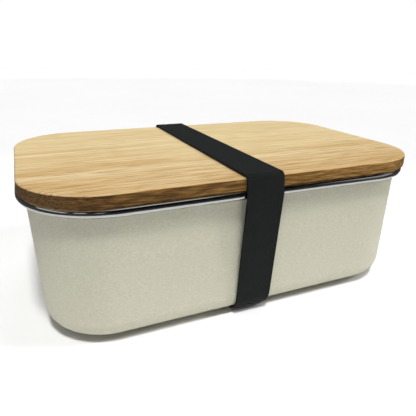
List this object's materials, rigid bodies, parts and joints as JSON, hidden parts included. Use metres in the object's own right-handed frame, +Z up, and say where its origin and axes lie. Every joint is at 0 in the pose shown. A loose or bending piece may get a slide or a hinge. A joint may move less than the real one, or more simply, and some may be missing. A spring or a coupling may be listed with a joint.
{
  "type": "lunch box",
  "caption": "Rounded rectangular steel lunch box with a rolled rim, a bamboo lid with a sealed plug, and a woven elastic strap round both.",
  "frame": {"origin": "on the surface that the closed box stands on, under the middle of the box", "axes": "+X along the box's length, +Y to its back, +Z up out of the tub's mouth"},
  "size_m": [0.1916, 0.1266, 0.0694],
  "materials": {
    "coated_steel": "matt, finely textured cream powder coat on deep-drawn stainless steel, bare polished steel at the rolled rim and inside",
    "bamboo": "sanded and oiled laminated bamboo",
    "silicone": "matt translucent silicone",
    "elastic": "flat woven black elastic webbing",
    "thread": "black sewing thread"
  },
  "bodies": {
    "tub": {"tub": "coated_steel"},
    "lid": {"lid_board": "bamboo", "lid_seal": "silicone"},
    "strap_lower": {"strap_bottom": "elastic", "strap_stitching": "thread", "strap_front_side": "elastic", "strap_back_side": "elastic", "strap_front_stretch": "elastic", "strap_back_stretch": "elastic"},
    "strap_upper": {"strap_top": "elastic"}
  },
  "joints": [
    {"name": "lid_lift", "type": "slide", "parent": "tub", "child": "lid", "axis": [0, 0, 1], "range_m": [0, 0.06]},
    {"name": "strap_slide", "type": "slide", "parent": "tub", "child": "strap_lower", "axis": [1, 0, 0], "range_m": [-0.12, 0.12]},
    {"name": "strap_stretch", "type": "slide", "parent": "strap_lower", "child": "strap_upper", "axis": [0, 0, 1], "range_m": [0, 0.06], "deforming": ["strap_front_stretch", "strap_back_stretch"]}
  ],
  "couplings": [
    {"joint": "strap_stretch", "follows": "lid_lift", "ratio": 1}
  ]
}
